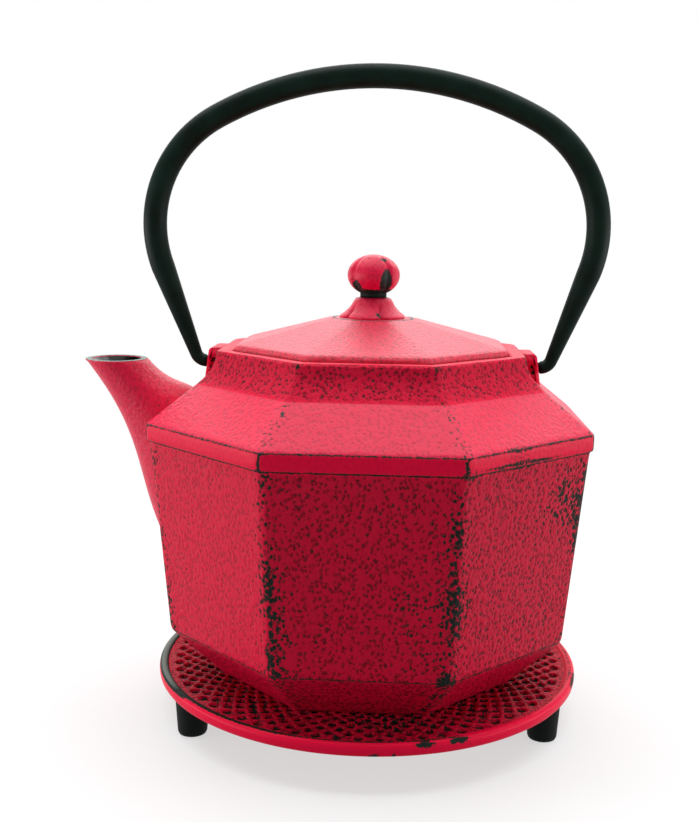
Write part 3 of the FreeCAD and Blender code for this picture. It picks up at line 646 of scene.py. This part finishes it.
for side, sign in (("right", 1), ("left", -1)):
    lug = bmesh.new()
    bmesh.ops.create_cube(lug, size=1, matrix=Matrix.Translation((0.5, 0, 0.5)))
    for vert in lug.verts:
        slant = LUG_LEAN * (1 - 2 * vert.co.z)
        vert.co = Vector((LUG_INNER + vert.co.x * (LUG_REACH + slant - LUG_INNER), vert.co.y * 2 * LUG_HALF,
                          LUG_BOTTOM + vert.co.z * (LUG_TOP - LUG_BOTTOM))) * MM
    halfway = (LUG_INNER + LUG_REACH) / 2 * MM
    outer_edges = [edge for edge in lug.edges if all(vert.co.x > halfway for vert in edge.verts)]
    bmesh.ops.bevel(lug, geom=outer_edges, offset=LUG_ROUND * MM, segments=5, profile=0.5, affect="EDGES",
                    material=-1)
    for face in [face for face in lug.faces if abs(face.normal.y) > 0.99]:
        outward = math.copysign(1, face.normal.y)
        border = face.edges[:]
        bmesh.ops.delete(lug, geom=[face], context="FACES_ONLY")
        spot = Matrix.Translation(Vector((SCOOP_X, outward * LUG_HALF, PIVOT)) * MM)
        circle = bmesh.ops.create_circle(lug, segments=32, radius=SCOOP_RADIUS * MM,
                                         matrix=spot @ Matrix.Rotation(math.pi / 2, 4, "X"))
        rim = ring_edges(circle["verts"])
        bmesh.ops.bridge_loops(lug, edges=border + rim)
        for deeper, narrower in SCOOP_STEPS:
            rim = draw_on(lug, rim, Vector((0, -outward * deeper, 0)), narrower)
        bmesh.ops.edgeloop_fill(lug, edges=rim)
    bmesh.ops.scale(lug, vec=(sign, 1, 1), verts=lug.verts)
    bmesh.ops.recalc_face_normals(lug, faces=lug.faces)
    mark(lug, lug_wear)
    block = piece(lug, f"lug_{side}", [paint], "pot")
    block.modifiers.new("flat_faces", "WEIGHTED_NORMAL")

# Bail handle: one round bar of black-painted iron bent to a wide crown and two shoulders; its legs taper and
# turn inwards to pins that sit in the lugs.
BAIL_TOP, BAIL_RADIUS, BAIL_END, PIN_RADIUS, PIN_DEPTH, LUG_GAP = 220.5, 4.1, 2.2, 1.8, 5.4, 1.1
CROWN_ANGLE, BEND_RADIUS, LEAN, ELBOW_RADIUS = 28.5, 41.8, 20.8, 4.0
LEG_STEPS, PIN_SHOULDER = 12, 0.3

# Satin black iron: a thin green-black coat on a rough bar, with cloudy patches of more and less gloss.
satin_black = bpy.data.materials.new("satin_black_iron")
satin_black.use_nodes = True
tree = satin_black.node_tree
place = node(tree, "TexCoord").outputs["Object"]
grit = node(tree, "TexNoise", {"Vector": place, "Scale": 1 / (1.2 * MM), "Detail": 4.0}).outputs["Fac"]
cloudy = node(tree, "TexNoise", {"Vector": place, "Scale": 1 / (9 * MM), "Detail": 4.0}).outputs["Fac"]
tint = node(tree, "ValToRGB", {"Fac": cloudy})
for stop, position, shade in zip(tint.color_ramp.elements, (0.35, 0.75), ("#07150f", "#10231c")):
    stop.position, stop.color = position, linear(shade)
gloss = node(tree, "MapRange", {"Value": cloudy, "To Min": 0.36, "To Max": 0.5}).outputs[0]
skin = node(tree, "Bump", {"Height": grit, "Strength": 0.25, "Distance": 0.12 * MM})
shader = tree.nodes["Principled BSDF"]
shader.inputs["Specular IOR Level"].default_value = 0.06
tree.links.new(tint.outputs["Color"], shader.inputs["Base Color"])
tree.links.new(gloss, shader.inputs["Roughness"])
tree.links.new(skin.outputs["Normal"], shader.inputs["Normal"])

# The crown's radius follows from the height, the shoulders, the lean of the legs and the place of the pins
lean, crown_turn = math.radians(LEAN), math.radians(CROWN_ANGLE)
elbow_x = LUG_REACH + LUG_GAP
elbow_run = ELBOW_RADIUS * math.tan((math.pi / 2 - lean) / 2)
crown_radius = (
    elbow_x + elbow_run + (BAIL_TOP - PIVOT) * math.tan(lean)
    + BEND_RADIUS * (math.sin(crown_turn) - math.cos(lean)
                     - (math.cos(crown_turn) + math.sin(lean)) * math.tan(lean))
) / (math.sin(crown_turn) + math.tan(lean) * (1 - math.cos(crown_turn)))
bend_x = (crown_radius - BEND_RADIUS) * math.sin(crown_turn)
bend_z = BAIL_TOP - crown_radius + (crown_radius - BEND_RADIUS) * math.cos(crown_turn)
leg_z = bend_z - BEND_RADIUS * math.sin(lean)
leg_length = (leg_z - PIVOT) / math.cos(lean) - elbow_run
bail = bmesh.new()
crown_top = Matrix.Translation((0, 0, BAIL_TOP * MM)) @ Matrix.Rotation(math.pi / 2, 4, "Y")
bmesh.ops.create_circle(bail, segments=36, radius=BAIL_RADIUS * MM, matrix=crown_top)


def bend_on(edges, x, z, angle, steps):
    """Carries the bar's end ring on round a bend."""
    verts = list(dict.fromkeys(vert for edge in edges for vert in edge.verts))
    last = bmesh.ops.spin(bail, geom=verts + edges, cent=(x * MM, 0, z * MM), axis=(0, 1, 0), angle=angle,
                          steps=steps)["geom_last"]
    return [item for item in last if isinstance(item, bmesh.types.BMEdge)]


end = bend_on(bail.edges[:], 0, BAIL_TOP - crown_radius, crown_turn, steps=24)
end = bend_on(end, bend_x, bend_z, math.pi / 2 - crown_turn + lean, steps=30)
leg_step = Vector((-math.sin(lean), 0, -math.cos(lean))) * leg_length / LEG_STEPS
for step in range(LEG_STEPS):
    thick, thin = [BAIL_RADIUS + (BAIL_END - BAIL_RADIUS) * (step + k) / LEG_STEPS for k in (0, 1)]
    end = draw_on(bail, end, leg_step, thin / thick)
end = bend_on(end, elbow_x, PIVOT + ELBOW_RADIUS, math.pi / 2 - lean, steps=10)
end = draw_on(bail, end, Vector((-PIN_SHOULDER, 0, 0)), PIN_RADIUS / BAIL_END)
end = draw_on(bail, end, Vector((PIN_SHOULDER - PIN_DEPTH - LUG_GAP, 0, 0)), 1)
bmesh.ops.edgeloop_fill(bail, edges=end)
bmesh.ops.mirror(bail, geom=bail.verts[:] + bail.edges[:] + bail.faces[:], axis="X", merge_dist=1e-5)
bmesh.ops.remove_doubles(bail, verts=bail.verts, dist=1e-6)
bmesh.ops.recalc_face_normals(bail, faces=bail.faces)
piece(bail, "bail_bar", [satin_black], "bail", "bail_handle")

# Lid: a low eight-sided cap of painted iron, hollow below, that drops into the collar. Paint is rubbed off
# along its edge and where the slopes meet the crown.
LID_RADIUS, LID_EDGE, LID_TOP, LID_CROWN = 49.6, 130.1, 139.0, 15.0
LID_CEILING, LID_HOLLOW, LID_MIDDLE = 135.5, 43.1, 5.0
LID_CUTS = 23
lid = bmesh.new()
raised(lid, [
    (LID_CROWN, LID_CEILING),
    (LID_HOLLOW, LID_SHELF, 8, FACETED, ENAMELLED),
    (LID_RADIUS - 0.2, LID_SHELF, 3, FACETED, ENAMELLED),
    (LID_RADIUS, LID_SHELF + 0.3, 1, FACETED, COATED),
    (LID_RADIUS, LID_EDGE, 3, FACETED, COATED),
    (LID_CROWN, LID_TOP, 22, FACETED, COATED),
    (LID_MIDDLE, LID_TOP, 3, FACETED, COATED),
], LID_CUTS)


def on_lid_edge(at):
    """Whether a point lies on the lid's outer edge or on the edge of its crown."""
    on_crown = abs(at.z - LID_TOP) < EDGE_EASE and at.xy.length > LID_CROWN - 2
    return abs(at.z - LID_EDGE) < EDGE_EASE or on_crown


def lid_wear(at):
    """Rubbed along the edge and round the crown, with specks along the ridges between the slopes."""
    rim = 0.5 * near(at.z - LID_EDGE, 0.5, 1)
    crown = 0.74 * near(corner_reach(at) - LID_CROWN, 0.8, 1) * (at.z > LID_TOP - 2)
    return 0.12 + 0.2 * near(corner_gap(at), 2, 1), max(rim, crown), 0.6


mark(lid, lid_wear)
eased(lid, lambda at: at.xy.length > LID_CROWN - 2 and corner_gap(at) < CORNER_EASE)
eased(lid, on_lid_edge, times=1)
# The top of the lid shows the most sheen of the set; its smooth colour is a little pinker, as painted sheen
polished_paint = crimson_paint("polished_crimson_paint", 0.5, "#e60b46")
piece(lid, "lid_cap", [polished_paint, enamel], "lid", "lid")

# Knob seat: a small cast blossom that flares down to petals parted by notches; it stands on the lid's crown
# under the knob.
SEAT_TOP, PETALS = 146.0, 5
PETAL_TOP, PETAL_RISE, NOTCH_DEPTH, NOTCH_WIDTH = 144.5, 4.0, 0.17, 0.28
SEAT_SECTION = [
    (0, LID_TOP - 0.2), (11.2, LID_TOP - 0.2), (11.65, 139.1), (11.6, 139.6), (11.0, 140.1), (9.9, 140.9),
    (8.7, 142.0), (7.8, 143.0), (7.2, 144.0), (6.6, 145.0), (6.0, 145.8), (5.2, SEAT_TOP), (0, SEAT_TOP),
]
SEAT_CHIP, SEAT_EDGE = Vector((2.4, -9.6, 140.6)), 139.3
seat = bmesh.new()
spun(seat, SEAT_SECTION, steps=160)
for vert in seat.verts:
    turn = math.atan2(vert.co.y, vert.co.x) * PETALS / 2
    low = max(0.0, min(1.0, (PETAL_TOP - vert.co.z / MM) / PETAL_RISE))
    vert.co.xy *= 1 - NOTCH_DEPTH * low * near(math.sin(turn), NOTCH_WIDTH, 1)


def seat_wear(at):
    """Rubbed along the petals' edge, with one chip on the front."""
    chip = 0.8 * near((at - SEAT_CHIP).length, 1.6, 4)
    return 0.12, max(0.5 * near(at.z - SEAT_EDGE, 0.4, 1), chip), 0.3


mark(seat, seat_wear)
piece(seat, "blossom_seat", [satin_paint], "lid", "knob_seat")

# Knob: a four-lobed ball on a short neck, painted red and painted black round its neck and underside, as
# painted shade below the ball. Its tail goes down through seat and lid and is riveted over a washer.
KNOB_Z, KNOB_REACH, KNOB_HALF, LOBES, LOBE_TURN = 153.7, 9.1, 7.1, 4, -6.0
GROOVE_DEPTH, GROOVE_WIDTH, KNOB_UNDER = 0.13, 0.2, 150.0
STEM_SECTION = [
    (0, 132.7), (3.6, 132.7), (2.2, 134.2), (2.0, 134.4), (2.0, 145.9), (4.6, SEAT_TOP), (4.6, 147.6),
    (3, KNOB_UNDER), (0, KNOB_UNDER),
]
# Bare patches on the ball: a point, how far it spreads along each axis, and its strength
KNOB_CHIPS = (
    ((4.5, -7.2, 151.2), (2.6, 4.0, 5.8), 0.95),
    ((-5.6, -5.4, 149.6), (2.2, 4.0, 3.4), 0.95),
    ((3.4, -4.5, 159.0), (1.7, 1.7, 1.7), 0.7),
)
knob = bmesh.new()
bmesh.ops.create_uvsphere(knob, u_segments=96, v_segments=48, radius=1)
for vert in knob.verts:
    turn = (math.atan2(vert.co.y, vert.co.x) - math.radians(LOBE_TURN)) * LOBES / 2
    groove = near(math.cos(turn), GROOVE_WIDTH) * vert.co.xy.length ** 0.5
    vert.co.xy *= 1 - GROOVE_DEPTH * groove
bmesh.ops.scale(knob, vec=(KNOB_REACH * MM, KNOB_REACH * MM, KNOB_HALF * MM), verts=knob.verts)
bmesh.ops.translate(knob, vec=(0, 0, KNOB_Z * MM), verts=knob.verts)
stem = bmesh.new()
spun(stem, STEM_SECTION, steps=48)


def knob_wear(at):
    """Painted black round the underside as painted shade below the ball, with bare patches on the front."""
    # Below the ball the coat is bared black, as painted shade where the ball overhangs its neck
    under = max(0.0, min(1.0, (KNOB_UNDER - at.z) / 1.4))
    line = 0.8 * under
    for spot, halves, strength in KNOB_CHIPS:
        off = Vector([(a - b) / half for a, b, half in zip(at, spot, halves)])
        line = max(line, strength * near(off.length, 1, 4))
    return 0.16 + 0.5 * under, line, 0.3


mark(knob, knob_wear)
# The neck is bared black all over, as painted shade under the ball
mark(stem, lambda at: (0.8, 0.8, 0.3))
piece(knob, "knob_ball", [satin_paint], "lid", "lid_knob")
piece(stem, "knob_stem", [paint], "lid")

# Washer: a plain disc of stainless steel with rounded edges, pressed from sheet. The knob's tail is riveted
# over it under the lid.
WASHER_SECTION = [
    (2.05, 134.3), (5.8, 134.3), (6.0, 134.5), (6.0, 135.3), (5.8, LID_CEILING), (2.05, LID_CEILING),
    (2.05, 134.3),
]

# Pressed stainless steel: bright grey sheet with a slightly uneven gloss from the rolls.
pressed_steel = bpy.data.materials.new("pressed_stainless_steel")
pressed_steel.use_nodes = True
tree = pressed_steel.node_tree
place = node(tree, "TexCoord").outputs["Object"]
rolled = node(tree, "TexNoise", {"Vector": place, "Scale": 1 / (2 * MM), "Detail": 5.0}).outputs["Fac"]
rough = node(tree, "MapRange", {"Value": rolled, "To Min": 0.22, "To Max": 0.4}).outputs[0]
shader = tree.nodes["Principled BSDF"]
shader.inputs["Metallic"].default_value = 1.0
shader.inputs["Base Color"].default_value = linear("#c6c6c2")
tree.links.new(rough, shader.inputs["Roughness"])
washer = bmesh.new()
spun(washer, WASHER_SECTION, steps=48)
piece(washer, "rivet_washer", [pressed_steel], "lid", "knob_washer")

# Tea basket: a pressed steel rim whose skirt is clamped on a tube of woven steel wire; a pressed ring closes
# the bottom round a woven floor. It hangs by its rim in the collar.
BASKET_TOP, BASKET_BOTTOM, TUBE = 125.8, 66.8, 38.7
SLEEVE_IN, SLEEVE_OUT, RIM_REACH, RING_LIP = 39.05, 39.55, 42.95, 35.0
SKIRT_BOTTOM, RING_TOP, RING_FLOOR = 115.8, 72.8, 67.3
RIM_SECTION = [
    (SLEEVE_IN, SKIRT_BOTTOM), (SLEEVE_OUT, SKIRT_BOTTOM), (SLEEVE_OUT, 124.2), (39.8, 124.7),
    (40.3, BASKET_SHELF), (42.6, BASKET_SHELF), (RIM_REACH, 125.1), (RIM_REACH, 125.5), (42.6, BASKET_TOP),
    (39.8, BASKET_TOP), (39.25, 125.6), (SLEEVE_IN, 125.1), (SLEEVE_IN, SKIRT_BOTTOM),
]
RING_SECTION = [
    (RING_LIP, BASKET_BOTTOM), (39.2, BASKET_BOTTOM), (39.5, 67.1), (SLEEVE_OUT, RING_TOP),
    (SLEEVE_IN, RING_TOP), (SLEEVE_IN, RING_FLOOR), (RING_LIP, RING_FLOOR), (RING_LIP, BASKET_BOTTOM),
]
for section, name, covered in ((RIM_SECTION, "basket_rim", "infuser_rim"),
                               (RING_SECTION, "basket_ring", "infuser_base_ring")):
    sheet = bmesh.new()
    spun(sheet, section, steps=128)
    steel = piece(sheet, name, [pressed_steel], "basket", covered)
    steel.modifiers.new("crisp_edges", "EDGE_SPLIT").split_angle = math.radians(50)

# The weave is drawn about twice as coarse as the real wire cloth, so that its wires show.
WIRE, WIRE_PITCH = 0.45, 1.7
WEAVE_LOW, WEAVE_HIGH, WEAVE_ROWS = 68.0, 124.6, 34
SIEVE_HALF, SIEVE_Z, SIEVE_CELLS = 38.9, 67.6, 46
wires_around = 2 * round(math.pi * TUBE / WIRE_PITCH)
row_height = (WEAVE_HIGH - WEAVE_LOW) / WEAVE_ROWS
tube = bmesh.new()
spun(tube, [(TUBE, WEAVE_LOW + row_height * row) for row in range(WEAVE_ROWS + 1)], wires_around)
sieve = bmesh.new()
bmesh.ops.create_grid(sieve, x_segments=SIEVE_CELLS, y_segments=SIEVE_CELLS, size=SIEVE_HALF * MM,
                      matrix=Matrix.Translation((0, 0, SIEVE_Z * MM)))
past_tube = [vert for vert in sieve.verts if vert.co.xy.length > TUBE * MM]
bmesh.ops.delete(sieve, geom=past_tube, context="VERTS")
for bm, name, covered in ((tube, "basket_weave", "infuser_wall"), (sieve, "basket_sieve", "infuser_floor")):
    bmesh.ops.wireframe(bm, faces=bm.faces, thickness=WIRE * MM, use_replace=True, use_boundary=True)
    bmesh.ops.recalc_face_normals(bm, faces=bm.faces)
    piece(bm, name, [pressed_steel], "basket", covered)

# Studio: a plain pale floor that runs out to white, and soft lamps above, behind, left and right. The floor
# throws back less light than it shows, so that the object isn't lit from below.
# In metres: half the floor's side, and the distances from the middle between which the lit floor with its
# shadow gives way to plain white
FLOOR_HALF, FADE_START, FADE_END = 3.0, 0.1, 0.4
# Share of plain white that the floor has up close
FADE_LEAST = 0.6


def seen_rays(tree):
    """One for rays seen straight, in a mirror or through glass; zero for those that only carry light."""
    rays = node(tree, "LightPath").outputs
    mirrored = node(tree, "Math", {0: rays["Is Camera Ray"], 1: rays["Is Glossy Ray"]}, operation="MAXIMUM")
    return node(tree, "Math", {0: mirrored.outputs[0], 1: rays["Is Transmission Ray"]},
                operation="MAXIMUM").outputs[0]


floor_mesh = bmesh.new()
bmesh.ops.create_grid(floor_mesh, x_segments=1, y_segments=1, size=FLOOR_HALF)
floor_data = bpy.data.meshes.new("studio_floor")
floor_mesh.to_mesh(floor_data)
floor_mesh.free()
floor = bpy.data.objects.new("studio_floor", floor_data)
bpy.context.scene.collection.objects.link(floor)
pale = bpy.data.materials.new("pale_floor")
pale.use_nodes = True
tree = pale.node_tree
shader = tree.nodes["Principled BSDF"]
shader.inputs["Roughness"].default_value = 0.8
shown = seen_rays(tree)
paper = node(tree, "Mix", {0: shown, 6: linear("#949494"), 7: linear("#f4f4f4")}, data_type="RGBA")
tree.links.new(paper.outputs[2], shader.inputs["Base Color"])
white = node(tree, "Emission", {"Color": linear("#ffffff"), "Strength": 1.0})
place = node(tree, "TexCoord").outputs["Object"]
far = node(tree, "VectorMath", {0: place}, operation="LENGTH").outputs["Value"]
fade = node(tree, "MapRange", {"Value": far, "From Min": FADE_START, "From Max": FADE_END,
                               "To Min": FADE_LEAST, "To Max": 1.0},
            interpolation_type="SMOOTHSTEP").outputs[0]
share = node(tree, "Math", {0: shown, 1: fade}, operation="MULTIPLY").outputs[0]
blend = node(tree, "MixShader", {0: share, 1: shader.outputs[0], 2: white.outputs[0]})
tree.links.new(blend.outputs[0], tree.nodes["Material Output"].inputs["Surface"])
floor_data.materials.append(pale)

# The surroundings are seen as white, and light the object only faintly
world = bpy.data.worlds.new("studio")
bpy.context.scene.world = world
world.use_nodes = True
tree = world.node_tree
strength = node(tree, "MapRange", {"Value": seen_rays(tree), "To Min": 0.2, "To Max": 1.0}).outputs[0]
tree.nodes["Background"].inputs["Color"].default_value = linear("#ffffff")
tree.links.new(strength, tree.nodes["Background"].inputs["Strength"])

# Lamps: a place and a width and depth in metres, and watts; all point at the pot's axis, level with its band
LAMPS = (
    ("top", (0.0, 0.04, 0.85), (1.4, 0.42), 8.6),
    ("back", (0.0, 0.78, 0.7), (1.5, 0.7), 6.4),
    ("left", (-0.8, -0.18, 0.1), (0.8, 0.16), 4.1),
    ("right", (0.8, -0.12, 0.1), (0.8, 0.16), 3.5),
)
LAMP_AIM = Vector((0, 0, 0.1))
for name, spot, (width, depth), watts in LAMPS:
    lamp = bpy.data.lights.new(f"soft_{name}", "AREA")
    lamp.shape, lamp.size, lamp.size_y, lamp.energy = "RECTANGLE", width, depth, watts
    stand = bpy.data.objects.new(f"soft_{name}", lamp)
    stand.location = spot
    stand.rotation_mode = "QUATERNION"
    stand.rotation_quaternion = (LAMP_AIM - Vector(spot)).to_track_quat("-Z", "Y")
    bpy.context.scene.collection.objects.link(stand)

# Camera: at the photograph's viewing angle, a little above the knob and right of the middle, with a small
# roll.
CAMERA_PLACE, CAMERA_LENS, CAMERA_SENSOR = Vector((11.5, -383.5, 169.3)), 48.01, 36.0
CAMERA_LOOK, CAMERA_ROLL = Vector((-0.04974, 0.98526, -0.16367)), 0.91
camera = bpy.data.cameras.new("camera")
camera.lens, camera.sensor_width = CAMERA_LENS, CAMERA_SENSOR
view = bpy.data.objects.new("camera", camera)
view.location = CAMERA_PLACE * MM
view.rotation_mode = "QUATERNION"
roll = Quaternion((0, 0, 1), math.radians(CAMERA_ROLL))
view.rotation_quaternion = CAMERA_LOOK.to_track_quat("-Z", "Y") @ roll
bpy.context.scene.collection.objects.link(view)
bpy.context.scene.camera = view
bpy.context.scene.view_settings.view_transform = "Standard"
